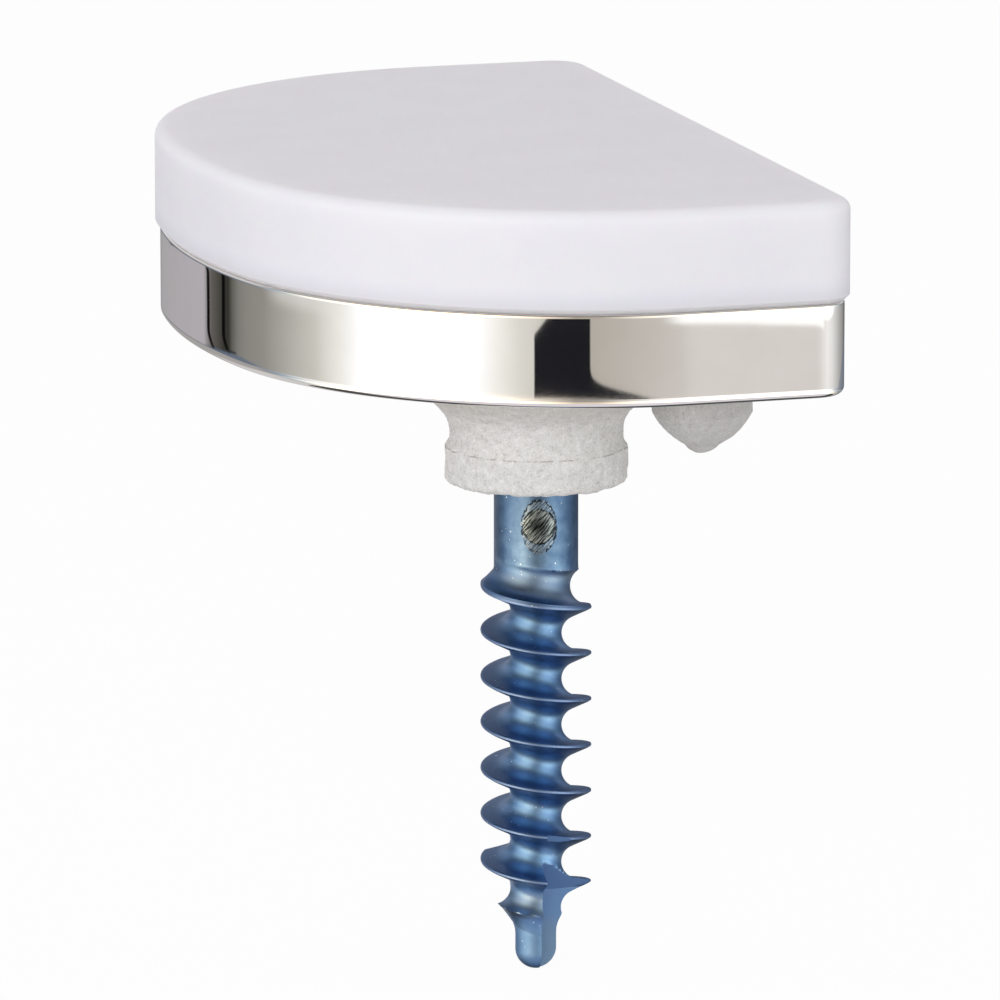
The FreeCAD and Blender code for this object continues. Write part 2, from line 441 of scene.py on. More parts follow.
def roughen(piece):
    """Moves each point along its normal by the layers of grains, each a weight, a shift and a
    size, most on the boss and the peg, and not at all against the metal."""
    mesh = piece.data

    def read(name):
        values = np.empty(len(mesh.vertices) * 3, np.float32)
        mesh.vertices.foreach_get(name, values)
        return values.reshape(-1, 3)

    place, normal = read("co") / MM, read("normal")
    height = sum(weight * grain(place + shift, size) for weight, shift, size in grain_layers)
    below = np.clip(-place[:, 2] / grain_rise, 0, 1)
    reach = np.hypot(place[:, 0], place[:, 1])
    rough = np.where(place[:, 0] > boss_neck_radius + 1.0, peg_grain, boss_grain)
    shown = np.where(place[:, 2] < 0.01, pad_grain + (rough - pad_grain) * below, 0.0)
    shown = np.where(reach < boss_core_radius + 0.02, 0.0, shown)
    moved = place + normal * (height * shown)[:, None]
    mesh.vertices.foreach_set("co", (moved * MM).astype(np.float32).ravel())
    mesh.update()


def turned_rings(profile, columns, centre=(0.0, 0.0)):
    """Rings of a solid of revolution about an upright axis from (radius, height) pairs."""
    angle = np.arange(columns) * 2 * np.pi / columns
    radius, height = np.array(profile).T
    x = centre[0] + radius[:, None] * np.cos(angle)
    y = centre[1] + radius[:, None] * np.sin(angle)
    return np.stack([x, y, np.broadcast_to(height[:, None], x.shape)], axis=-1)


def evenly(profile, step):
    """The same profile with points no further apart than step."""
    profile = np.array(profile)
    out = [profile[:1]]
    for a, b in zip(profile, profile[1:]):
        count = max(1, int(math.ceil(np.hypot(*(b - a)) / step)))
        t = np.arange(1, count + 1)[:, None] / count
        out.append(a * (1 - t) + b * t)
    return np.concatenate(out)


def waist_arc(end, count=10):
    """Arc that leaves the waist upright and reaches the end point."""
    across = end[0] - boss_waist_radius
    along = end[1] - boss_waist_z
    radius = (across**2 + along**2) / (2 * across)
    turn = np.linspace(0, math.atan2(along, radius - across), count + 1)
    return np.stack(
        [boss_waist_radius + radius * (1 - np.cos(turn)), boss_waist_z + radius * np.sin(turn)], -1
    )


def boss_profile():
    """Outside of the boss from its foot down, then the hole for the metal core."""
    inside = coating_thickness / 2
    neck = (boss_neck_radius, -boss_foot_height)
    step = (boss_land_radius, boss_step_z)
    round_centre = (boss_land_radius - boss_edge_round, boss_bottom + boss_edge_round)
    return np.concatenate(
        [
            [(boss_neck_radius + boss_foot_height + inside, inside)],
            [(boss_neck_radius + boss_foot_height, 0.0)],
            waist_arc(neck)[::-1],
            waist_arc(step)[1:],
            arc_points(round_centre, boss_edge_round, 0, -90),
            [(boss_core_radius, boss_bottom)],
        ]
    )


def held_inside(points):
    """Points of the boss foot drawn back to the coating's edge along the front shoulder."""
    shoulder = np.array([front_shoulder_x(), front_end_y + shoulder_radius])
    away = points[..., :2] - shoulder
    reach = np.hypot(away[..., 0], away[..., 1])
    share = np.minimum(1.0, (shoulder_radius - coating_margin) / reach)
    held = points.copy()
    held[..., :2] = shoulder + away * share[..., None]
    return held


def porous_coating(material):
    """Pad under the tray, boss and peg, each a closed shell with a grainy outside."""
    margin_rings = pocket_rings((coating_margin, coating_thickness), (coating_margin, 0.0))
    edge = margin_rings[1]
    hole = round_ring(boss_core_radius, 0.0)
    across = [edge * (1 - t) + hole * t for t in np.linspace(0, 1, pad_rings + 1)[1:]]
    pad = ring_shell(
        np.array(margin_rings + across + [round_ring(boss_core_radius, coating_thickness)])
    )
    outside = evenly(boss_profile(), profile_step)
    inside = [(boss_core_radius, coating_thickness / 2)]
    boss_rings = turned_rings(np.concatenate([outside, inside]), boss_columns)
    boss = ring_shell(held_inside(boss_rings))
    tip_centre = (0.0, peg_tip_z + peg_tip_radius)
    tip = arc_points(tip_centre, peg_tip_radius, -peg_tip_angle, -peg_tip_end, 8)
    shoulder = np.array((peg_radius, peg_shoulder_z))
    control = (shoulder + tip[0]) / 2 + 2 * peg_cone_bulge * np.array((1, -1))
    t = np.linspace(0, 1, 13)[:, None]
    cone = (1 - t) ** 2 * shoulder + 2 * t * (1 - t) * control + t**2 * tip[0]
    peg_line = np.concatenate([[(peg_radius, coating_thickness / 2)], cone, tip[1:]])
    peg_rings = turned_rings(evenly(peg_line, profile_step), peg_columns, (peg_x, 0.0))
    peg = capped_rings(peg_rings)
    points, faces = joined(*[outwards(*shell) for shell in (pad, boss, peg)])
    looks = (material, "tray", "porous_coating", "porous_layer", None)
    piece = make_piece("coating", points, faces, *looks)
    roughen(piece)
    return piece


def screw_columns():
    """Angles round the screw in degrees, finer beside the flutes, with both sides of each."""
    start = first_crest_angle - 360

    def wrapped(angles):
        return np.round(start + (angles - start) % 360, 6)

    even = np.round(start + np.arange(240) * 1.5, 6)
    edges = flute_angle + np.array([0.0, 180.0])
    close = [wrapped(edges - gap) for gap in (3.0, 2.0, 1.0, 0.5, 0.0)]
    hexagon = wrapped(np.arange(0.0, 360.0, 60.0))
    angles = np.unique(np.concatenate([even, hexagon] + close))
    doubled = np.sort(np.concatenate([angles, wrapped(edges)]))
    cut_side = np.zeros(len(doubled), bool)
    cut_side[np.searchsorted(doubled, wrapped(edges))] = True
    return doubled, cut_side


def flute_limit(angle, z, cut_side):
    """Distance from the axis to the flute's faces: the wall x = offset, the face y = -rise(z)."""
    rise = np.maximum(z - flute_top_z, 0) * flute_slope
    limit = np.full(np.broadcast(angle, z).shape, no_limit)
    for turn in (0, 180):
        local = np.radians((angle - flute_angle - turn + 180) % 360 - 180)
        across, down = np.cos(local), -np.sin(local)
        inside = (across > 1e-6) & ((down > 1e-6) | (cut_side & (np.abs(down) <= 1e-6)))
        wall = flute_offset / np.maximum(across, 1e-6)
        face = rise / np.maximum(down, 1e-6)
        reach = np.where(inside, np.maximum(wall, face), no_limit)
        limit = np.minimum(limit, reach)
    return limit


def blank_radius(z):
    """The screw before its thread is cut: shank, cone, thread blank, cone, nose. The corner
    of cone and nose is filled with a parabola."""
    start_cone = shank_radius + (thread_start_z - z)
    end_cone = thread_radius - (thread_end_z - z)
    share = np.clip(0.5 + 0.5 * (end_cone - nose_radius) / corner_blend, 0, 1)
    fair = nose_radius + (end_cone - nose_radius) * share + corner_blend * share * (1 - share)
    above = np.where(z > thread_start_z, shank_radius, np.minimum(start_cone, thread_radius))
    return np.where(z > thread_end_z, above, np.minimum(fair, thread_radius))


def groove_shape():
    """Slopes of the flanks, radius and middle of the root arc between them, and the lower and
    upper end of the groove at the crest."""
    steep = math.tan(math.radians(trailing_flank))
    slope = math.tan(math.radians(leading_flank))
    depth = thread_radius - root_radius
    low = crest_width / 2
    high = thread_pitch - crest_width / 2
    floor = high - low - depth * (steep + slope)
    low_turn = math.radians(90 - trailing_flank) / 2
    high_turn = math.radians(90 - leading_flank) / 2
    radius = floor / (math.tan(low_turn) + math.tan(high_turn))
    centre_u = low + depth * steep + radius * math.tan(low_turn)
    return steep, slope, radius, centre_u, low, high


def thread_grid(angle):
    """Helical rows of the thread: for every turn, the flank under a crest, the root arc,
    the flank above the next crest and that crest's land, all following the falling helix. The
    groove lifts and widens over its first turn and lifts out over a quarter turn at its end."""
    turns = int(math.ceil((first_crest_z - thread_end_z + 3) / thread_pitch)) + 2
    part = (angle - first_crest_angle) / 360
    rows = []
    for k in range(0, turns):
        path = first_crest_z - thread_pitch * (part + k)
        run_in = np.clip(1 - part - k, 0, 1)
        run_out = np.clip((part + k - run_out_turn) / 0.25, 0, 1)
        lift = (shank_radius - root_radius) * run_in + (thread_radius - root_radius) * run_out
        widening = 1 + run_in_widening * run_in**2 / (thread_pitch - crest_width)
        turn_rows = groove_rows(path, lift, widening)
        if k == 1:
            top = turn_rows[0][1]
            rows = [(r, np.maximum(z, top)) for r, z in rows]
        rows += turn_rows
    falling = rows[:1]
    for r, z in rows[1:]:
        last_r, last_z = falling[-1]
        falling.append((np.where(z > last_z, last_r, r), np.minimum(z, last_z)))
    return falling


def edge_radius(path, line, lift):
    """Where a flank meets the blank: bisection on radius, as the blank narrows along z."""
    inner = np.full(path.shape, root_radius) + lift
    outer = np.full(path.shape, thread_radius + 0.5)
    for _ in range(halvings):
        middle = (inner + outer) / 2
        below = blank_radius(path + line(middle - lift)) > middle
        inner = np.where(below, middle, inner)
        outer = np.where(below, outer, middle)
    return inner


def groove_rows(path, lift, widening):
    """Rows of one turn as (radius, height) pairs, from the upper flank down to the next land,
    raised by the lift and stretched upwards by the widening."""
    steep, slope, radius, centre_u, low, high = groove_shape()
    centre_r = root_radius + radius

    def high_line(r):
        return high - (thread_radius - r) * slope

    def low_line(r):
        return low + (thread_radius - r) * steep

    high_touch = math.radians(leading_flank)
    low_touch = math.radians(trailing_flank)
    rows = []

    def put(r, u, ease=crest_round):
        z = path + low + (u - low) * widening
        blank = blank_radius(z)
        crest = np.clip((blank - shank_radius) / (thread_radius - shank_radius), 0, 1)
        rows.append((np.minimum(r, blank - ease * crest), z))

    def put_flank(line, touch, shares):
        edge = edge_radius(path, line, lift)
        foot = np.minimum(centre_r - radius * math.sin(touch) + lift, edge)
        for t in shares:
            r = edge * (1 - t) + foot * t
            put(r, line(r - lift))

    shares = np.linspace(0, 1, flank_rows)
    put_flank(high_line, high_touch, shares)
    for a in np.linspace(high_touch, math.pi - low_touch, root_rows)[1:-1]:
        put(centre_r - radius * math.sin(a) + lift, centre_u + radius * math.cos(a))
    put_flank(low_line, low_touch, shares[::-1])
    for across in land_places:
        ease = crest_round * (1 - math.sqrt(1 - across**2))
        put(np.full(path.shape, no_limit), crest_width / 2 * across, ease)
    return rows


def fixation_screw(material):
    """Rings of the head and shank, helical rows of the thread, and rings of the nose, each row
    brought inside the flutes."""
    degrees, cut_side = screw_columns()
    turn = np.radians(degrees)
    columns = len(degrees)
    clamp_top = first_crest_z + thread_pitch - crest_width
    clamp_low = thread_end_z - (thread_radius - nose_radius) - corner_blend - 0.1

    def ring(radius, z):
        return np.broadcast_to(radius, columns), np.full(columns, float(z))

    hexagon = socket_across_flats / 2 / np.cos(np.radians((degrees % 60) - 30))
    head_end = -math.degrees(math.acos(shank_radius / head_radius))
    head = arc_points((0.0, head_centre_z), head_radius, 0, head_end)
    top_rows = [
        ring(0.0, head_top_z - socket_depth),
        ring(hexagon, head_top_z - socket_depth),
        ring(hexagon, head_top_z),
        ring(head_radius - 0.1, head_top_z),
        ring(head_radius, head_top_z - 0.1),
    ] + [ring(r, z) for r, z in head]
    shank_top = head[-1][1]
    for z in np.linspace(shank_top, clamp_top, 12)[1:-1]:
        top_rows.append(ring(shank_radius, z))
    thread_rows = []
    for r, z in thread_grid(degrees):
        held = np.clip(z, clamp_low, clamp_top)
        r = np.where(held == z, r, blank_radius(held))
        thread_rows.append((r, held))
    nose_centre = screw_tip_z + nose_radius
    nose = [ring(nose_radius, z) for z in np.linspace(clamp_low, nose_centre, 10)[1:]]
    nose += [ring(r, z) for r, z in arc_points((0.0, nose_centre), nose_radius, 0, -90, 15)[1:]]

    def points(rows):
        r = np.array([row[0] for row in rows])
        z = np.array([row[1] for row in rows])
        r = np.minimum(r, flute_limit(degrees, z, cut_side))
        return np.stack([r * np.cos(turn), r * np.sin(turn), z], axis=-1)

    top, thread, low = points(top_rows), points(thread_rows), points(nose)
    upper = open_shell(np.concatenate([top, thread[:1]]))
    lower = open_shell(np.concatenate([thread[-1:], low]))
    shell = outwards(*joined(upper, open_shell(thread, rows_per_turn), lower))
    return make_piece("screw", *shell, material, "screw", "fixation_screw", "blue_anodised", 35.0)


# Finishes

rightwards = (1.0, 0.0, 0.0)
backwards = (0.0, 1.0, 0.0)
upwards = (0.0, 0.0, 1.0)


def srgb(red, green, blue):
    """Linear colour from 0 to 255 screen values."""
    def linear(value):
        value /= 255
        return value / 12.92 if value <= 0.04045 else ((value + 0.055) / 1.055) ** 2.4
    return (linear(red), linear(green), linear(blue), 1.0)


def grey(level, warmth=0.0):
    """Linear grey, a little warm or cold."""
    return (level * (1 + warmth), level, level * (1 - warmth), 1.0)


def fill(tree, made, inputs):
    """Links or values for the inputs of a node."""
    for name, value in inputs.items():
        if isinstance(value, bpy.types.NodeSocket):
            tree.links.new(value, made.inputs[name])
        else:
            made.inputs[name].default_value = value


def node(tree, kind, inputs=None, **settings):
    """A node with its settings, its input values and its incoming links."""
    made = tree.nodes.new("ShaderNode" + kind)
    for name, value in settings.items():
        setattr(made, name, value)
    fill(tree, made, inputs or {})
    return made


def maths(tree, operation, a, b=0.0, c=0.0):
    """One sum, product or other operation on up to three values."""
    made = node(tree, "Math", {0: a, 1: b, 2: c}, operation=operation)
    return made.outputs[0]


def times(tree, *factors):
    """Product of several values."""
    product = factors[0]
    for factor in factors[1:]:
        product = maths(tree, "MULTIPLY", product, factor)
    return product


def ramp(tree, factor, stops):
    """Colour ramp from (place, colour) pairs."""
    made = node(tree, "ValToRGB", {0: factor})
    elements = made.color_ramp.elements
    while len(elements) < len(stops):
        elements.new(0.5)
    for element, (place, colour) in zip(elements, stops):
        element.position = place
        element.color = colour
    return made.outputs[0]


def mixed(tree, factor, a, b, blend="MIX"):
    """Colour a where the factor is 0 and colour b where it is 1."""
    made = node(tree, "Mix", {0: factor, 6: a, 7: b}, data_type="RGBA", blend_type=blend)
    return made.outputs[2]


def new_material(name):
    """A material with its tree and its shader."""
    made = bpy.data.materials.new(name)
    made.use_nodes = True
    return made, made.node_tree, made.node_tree.nodes["Principled BSDF"]


def steps(tree, value, low, high, kind="SMOOTHSTEP"):
    """0 below low, 1 above high and a smooth or a linear rise between them."""
    ends = {"Value": value, "From Min": low, "From Max": high}
    return node(tree, "MapRange", ends, interpolation_type=kind).outputs[0]


def inside(tree, value, low, high, soft):
    """1 between low and high, falling smoothly to 0 over soft at each end."""
    rise = steps(tree, value, low - soft / 2, low + soft / 2)
    fall = steps(tree, value, high + soft / 2, high - soft / 2)
    return times(tree, rise, fall)


def past(tree, value, start, span):
    """How far a value is past the start, in spans, and 0 before it."""
    far = maths(tree, "MULTIPLY_ADD", value, 1 / span, -start / span)
    return maths(tree, "MAXIMUM", far, 0.0)


def from_to(tree, value, low, high):
    """Value from 0 to 1 spread between low and high."""
    made = node(tree, "MapRange", {"Value": value, "To Min": low, "To Max": high})
    return made.outputs[0]


def object_place(tree):
    """Place of each point in the object's own axes, in metres."""
    return node(tree, "TexCoord").outputs["Object"]


def along(tree, place, direction):
    """Distance of each point along a fixed direction."""
    made = node(tree, "VectorMath", {0: place, 1: direction}, operation="DOT_PRODUCT")
    return made.outputs["Value"]


def length_of(tree, x, y):
    """Root of the sum of two squares."""
    flat = node(tree, "CombineXYZ", {0: x, 1: y}).outputs[0]
    made = node(tree, "VectorMath", {0: flat}, operation="LENGTH")
    return made.outputs["Value"]


def noise(tree, place, per_mm, detail=2.0, roughness=0.5):
    """Random field from 0 to 1 with so many cells to a millimetre."""
    made = node(
        tree,
        "TexNoise",
        {"Vector": place, "Scale": per_mm / MM, "Detail": detail, "Roughness": roughness},
    )
    return made.outputs[0]


def bumped(tree, shader, height, depth, strength=1.0):
    """Fine relief of the given depth in millimetres."""
    made = node(tree, "Bump", {"Height": height, "Distance": depth * MM, "Strength": strength})
    fill(tree, shader, {"Normal": made.outputs[0]})


def polyethylene():
    """Milky plastic: white with clouds of a quarter of a shade over 4 mm, painted shade a little
    greyer in the lowest 1.7 mm next to the tray, a satin skin whose sheen varies with 0.4 mm
    mottling, and light that spreads a millimetre below the surface."""
    made, tree, shader = new_material("polyethylene")
    place = object_place(tree)
    cloud = noise(tree, place, 0.22, 3.0)
    colour = ramp(tree, cloud, [(0.35, srgb(243, 242, 248)), (0.65, srgb(245, 244, 250))])
    height = along(tree, place, upwards)
    # Painted shade: the lowest 1.7 mm is greyed where the tray shades the insert.
    low = steps(tree, height, (rim_top + 1.7) * MM, rim_top * MM)
    colour = mixed(tree, times(tree, low, 0.8), colour, srgb(226, 224, 229))
    mottle = noise(tree, place, 2.4, 3.0)
    fill(tree, shader, {
        "Base Color": colour,
        "Roughness": from_to(tree, mottle, 0.44, 0.56),
        "IOR": 1.5,
        "Specular IOR Level": 0.35,
        "Subsurface Weight": 1.0,
        "Subsurface Radius": (1.0, 0.85, 0.95),
        "Subsurface Scale": 1.1 * MM,
    })
    bumped(tree, shader, mottle, 0.01, 0.2)
    return made


def polished_alloy():
    """Mirror-polished metal: warm silver, a wave of a few microns over 5 mm left by the
    polishing wheel, and a haze of hairlines that lifts the roughness a little."""
    made, tree, shader = new_material("polished alloy")
    place = object_place(tree)
    stain = noise(tree, place, 0.3, 2.0)
    colour = ramp(tree, stain, [(0.3, srgb(236, 234, 230)), (0.7, srgb(242, 240, 237))])
    drawn = node(tree, "Mapping", {"Vector": place, "Scale": (1.0, 1.0, 9.0)})
    hairlines = noise(tree, drawn.outputs[0], 3.0, 4.0, 0.7)
    haze = from_to(tree, hairlines, 0.0, 0.05)
    fill(tree, shader, {"Metallic": 1.0, "Base Color": colour, "Roughness": haze})
    wave = noise(tree, place, 0.2, 1.0)
    bumped(tree, shader, wave, 0.003)
    return made


def porous_metal():
    """Sprayed titanium grains: pale grey by two sizes of grain, 0.1 and 0.4 mm, dark pits
    where a third noise dips, painted shade that greys the foot under the tray, a broken dark
    line in the step of the boss, and painted shade that makes the peg a little greyer than the
    boss."""
    made, tree, shader = new_material("porous metal")
    place = object_place(tree)
    fine = noise(tree, place, 9.0, 2.0, 0.6)
    coarse = noise(tree, place, 2.6, 2.0)
    both = maths(tree, "ADD", times(tree, fine, 0.6), times(tree, coarse, 0.4))
    colour = ramp(tree, both, [
        (0.30, srgb(186, 184, 179)), (0.43, srgb(217, 216, 211)),
        (0.56, srgb(229, 228, 224)), (0.70, srgb(248, 247, 245)),
    ])
    pit = steps(tree, noise(tree, place, 7.0, 1.0), 0.28, 0.20)
    colour = mixed(tree, times(tree, pit, 0.5), colour, srgb(104, 101, 98))
    height = along(tree, place, upwards)
    # Painted shade: the foot of the boss is greyed where the tray's overhang shades it.
    foot = steps(tree, height, -1.9 * MM, -0.7 * MM)
    colour = mixed(tree, times(tree, foot, 0.22), colour, srgb(168, 160, 150))
    step = inside(tree, height, (boss_step_z - 0.02) * MM, (boss_step_z + 0.04) * MM, 0.05 * MM)
    broken = steps(tree, noise(tree, place, 1.7, 3.0, 0.7), 0.40, 0.56)
    boss_side = steps(tree, along(tree, place, rightwards), 6.5 * MM, 6.0 * MM)
    line = times(tree, step, broken, boss_side, 0.6)
    colour = mixed(tree, line, colour, srgb(112, 106, 100))
    # Painted shade: the peg is greyed a little, as it sits in the shadow of the tray.
    peg = steps(tree, along(tree, place, rightwards), 7.4 * MM, 10.5 * MM)
    colour = mixed(tree, times(tree, peg, 0.35), colour, srgb(178, 176, 174))
    fill(tree, shader, {"Base Color": colour, "Roughness": 0.7, "Specular IOR Level": 0.3})
    bumped(tree, shader, both, 0.05, 0.7)
    return made


def bare_spot(tree, place):
    """Share and colour of the oval spot ground through the blue on the front of the shank: a
    round dark middle with slanting scratches that brighten towards its edge, crescents of
    paler scratches above and below it, and broken dark rims round both."""
    turn = math.radians(view_azimuth)
    sideways = along(tree, place, (math.cos(turn), math.sin(turn), 0.0))
    facing = along(tree, place, (math.sin(turn), -math.cos(turn), 0.0))
    front = maths(tree, "GREATER_THAN", facing, MM)
    across = maths(tree, "SUBTRACT", sideways, spot_shift * MM)
    up = maths(tree, "SUBTRACT", along(tree, place, upwards), spot_z * MM)

    def reach(width, height):
        return length_of(
            tree,
            maths(tree, "DIVIDE", across, width / 2 * MM),
            maths(tree, "DIVIDE", up, height / 2 * MM),
        )

    ragged = times(tree, maths(tree, "SUBTRACT", noise(tree, place, 5.0, 3.0, 0.8), 0.5), 0.3)
    outer = maths(tree, "ADD", reach(spot_width, spot_height), ragged)
    inner = maths(tree, "ADD", reach(spot_core_width, spot_core_height), ragged)
    spot = times(tree, steps(tree, outer, 1.02, 0.97), front)
    slant = maths(tree, "SUBTRACT", times(tree, across, 0.75), times(tree, up, 0.66))
    length = maths(tree, "ADD", times(tree, across, 0.66), times(tree, up, 0.75))
    lines = node(tree, "CombineXYZ", {0: slant, 1: times(tree, length, 0.09)}).outputs[0]
    scratch = steps(tree, noise(tree, lines, 13.0, 2.0, 0.6), 0.44, 0.60)
    bright = steps(tree, inner, 0.1, 1.0)
    light = mixed(tree, bright, srgb(72, 80, 82), srgb(156, 168, 172))
    dark = mixed(tree, bright, srgb(12, 14, 16), srgb(44, 52, 56))
    middle = mixed(tree, scratch, dark, light)
    crescent = mixed(tree, scratch, srgb(70, 90, 114), srgb(136, 154, 170))
    colour = mixed(tree, steps(tree, inner, 1.02, 0.98), crescent, middle)
    broken = steps(tree, noise(tree, place, 3.1, 2.0, 0.7), 0.40, 0.50)
    inner_rim = inside(tree, inner, 0.95, 1.04, 0.05)
    outer_rim = inside(tree, outer, 0.91, 1.0, 0.05)
    rims = times(tree, maths(tree, "MAXIMUM", inner_rim, outer_rim), broken)
    colour = mixed(tree, rims, colour, srgb(26, 30, 36))
    return spot, colour


def flute_faces(tree, place):
    """Share of the cut faces: points inside either cutter, whose two planes cross near the
    axis, or up to a hundredth of a millimetre outside it."""
    height = along(tree, place, upwards)
    low = maths(tree, "LESS_THAN", height, (flute_top_z + flute_reach) * MM)
    rise = times(tree, past(tree, height, flute_top_z * MM, 1.0), -flute_slope)
    shares = []
    for side in (1, -1):
        turn = math.radians(flute_angle)
        out = along(tree, place, (side * math.cos(turn), side * math.sin(turn), 0.0))
        beside = along(tree, place, (-side * math.sin(turn), side * math.cos(turn), 0.0))
        outside = maths(tree, "GREATER_THAN", out, (flute_offset - face_slack) * MM)
        off = maths(tree, "SUBTRACT", beside, rise)
        deep = maths(tree, "LESS_THAN", off, face_slack * MM)
        shares.append(times(tree, outside, deep))
    return times(tree, maths(tree, "MAXIMUM", shares[0], shares[1]), low)


def blue_anodised():
    """Satin blue oxide on blasted metal: a mottled grey blue shank, duller next to the boss,
    deeper blue in the thread and darkest on its flanks as painted shade, crests painted pale
    silver blue in the last 0.07 mm of their height as wear and as a painted highlight, greyer
    where the groove runs in and out, a duller nose, matt blue on the milled faces of the
    flutes, a few bright specks, and the bare spot."""
    made, tree, shader = new_material("blue anodised")
    place = object_place(tree)
    height = along(tree, place, upwards)
    x, y = along(tree, place, rightwards), along(tree, place, backwards)
    reach = length_of(tree, x, y)
    film = noise(tree, place, 0.8, 3.0)
    mottled = noise(tree, place, 1.2, 3.0)
    shank_film = ramp(tree, mottled, [(0.35, srgb(82, 110, 143)), (0.65, srgb(108, 137, 167))])
    # The shank is darker towards the boss, from 9.4 mm below the tray upwards.
    darker_towards_boss = steps(tree, height, -9.4 * MM, -7.4 * MM)
    shank_film = mixed(tree, times(tree, darker_towards_boss, 0.35), shank_film, srgb(72, 98, 132))
    thread_film = ramp(tree, film, [(0.3, srgb(97, 135, 179)), (0.7, srgb(110, 146, 189))])
    # Painted shade: the flanks between the crests are darkened.
    flank = steps(tree, reach, (root_radius + 0.25) * MM, (thread_radius - 0.35) * MM)
    thread_film = mixed(tree, times(tree, flank, 0.7), thread_film, srgb(56, 86, 134))
    threaded = steps(tree, height, -10.0 * MM, -11.4 * MM)
    colour = mixed(tree, threaded, shank_film, thread_film)
    groove = steps(tree, reach, (shank_radius + 0.3) * MM, (shank_radius - 0.1) * MM)
    run_in = inside(tree, height, -13.4 * MM, -10.9 * MM, 0.9 * MM)
    run_out = inside(tree, height, -31.6 * MM, -30.2 * MM, 0.7 * MM)
    grey_film = times(tree, maths(tree, "MAXIMUM", run_in, run_out), groove, 0.6)
    colour = mixed(tree, grey_film, colour, srgb(122, 140, 160))
    nose = steps(tree, height, -31.4 * MM, -33.2 * MM)
    colour = mixed(tree, times(tree, nose, 0.35), colour, srgb(74, 102, 138))
    below = steps(tree, height, thread_start_z * MM, (thread_start_z - 1.0) * MM)
    # Crests painted paler: partly wear, partly a painted highlight along the crest line.
    crest_wear_and_highlight = steps(tree, reach, (thread_radius - 0.07) * MM, (thread_radius - 0.02) * MM)
    colour = mixed(tree, times(tree, crest_wear_and_highlight, below, 0.6), colour, srgb(124, 146, 184))
    speck = steps(tree, noise(tree, place, 8.0, 0.0), 0.83, 0.86)
    colour = mixed(tree, speck, colour, srgb(225, 232, 240))
    milled = flute_faces(tree, place)
    cut_blue = mixed(tree, nose, srgb(88, 124, 172), srgb(106, 137, 170))
    colour = mixed(tree, milled, colour, cut_blue)
    spot, bare = bare_spot(tree, place)
    colour = mixed(tree, spot, colour, bare)
    metal = from_to(tree, milled, 1.0, 0.5)
    grainy = noise(tree, place, 14.0, 2.0, 0.6)
    satin = from_to(tree, grainy, 0.26, 0.36)
    for part, duller in ((milled, 0.12), (threaded, 0.07), (nose, 0.12)):
        satin = maths(tree, "ADD", satin, times(tree, part, duller))
    fill(tree, shader, {"Base Color": colour, "Metallic": metal, "Roughness": satin})
    bumped(tree, shader, grainy, 0.006, 0.6)
    return made


# Surroundings


def flat_plane(name, half, z, material):
    """Level square of the stage."""
    corners = [(-half, -half, z), (half, -half, z), (half, half, z), (-half, half, z)]
    mesh = new_mesh(name, np.array(corners), np.array([(0, 1, 2, 3)]), material)
    plane = new_object(name, mesh)
    return plane


def floor_material():
    """Pale matt floor, which the camera sees nearly white with a trace of its shading. The
    metal sees the lower part of the curtain in its place."""
    made, tree, shader = new_material("pale floor")
    fill(tree, shader, {"Base Color": grey(0.9), "Roughness": 0.9})
    path = node(tree, "LightPath")
    white = node(tree, "Emission", {"Color": (1, 1, 1, 1), "Strength": 1.0})
    seen = times(tree, path.outputs["Is Camera Ray"], floor_whiteness)
    both = node(tree, "MixShader", {0: seen, 1: shader.outputs[0], 2: white.outputs[0]})
    fill(tree, tree.nodes["Material Output"], {"Surface": both.outputs[0]})
    return made


def round_the_object(tree, place):
    """Degrees to the right of the front, seen from the camera's side, and the height."""
    turned = node(
        tree,
        "Mapping",
        {"Vector": place, "Rotation": (0, 0, math.radians(90 - view_azimuth))},
        vector_type="POINT",
    ).outputs[0]
    split = node(tree, "SeparateXYZ", {0: turned})
    angle = maths(tree, "ARCTAN2", split.outputs["Y"], split.outputs["X"])
    return maths(tree, "MULTIPLY", angle, 180 / math.pi), split


def by_place(tree, value, tones):
    """Ramp of the tones of a table between its first place and its last."""
    first, last = tones[0][0], tones[-1][0]
    share = steps(tree, value, first, last, "LINEAR")
    stops = [((place - first) / (last - first), tone) for place, tone in tones]
    return ramp(tree, share, stops)


wall_tones = [
    (-180, (0.78, 0.78, 0.82, 1)), (-110, (0.83, 0.83, 0.88, 1)), (-50, (1.30, 1.34, 1.46, 1)),
    (-15, (1.16, 1.20, 1.28, 1)), (30, (0.90, 0.93, 0.97, 1)), (110, (0.76, 0.77, 0.80, 1)),
    (180, (0.78, 0.78, 0.82, 1)),
]
ceiling_tones = [
    (-180, grey(0.1)), (-30, grey(0.04)), (60, grey(0.5)), (130, grey(0.7)), (180, grey(0.1)),
]


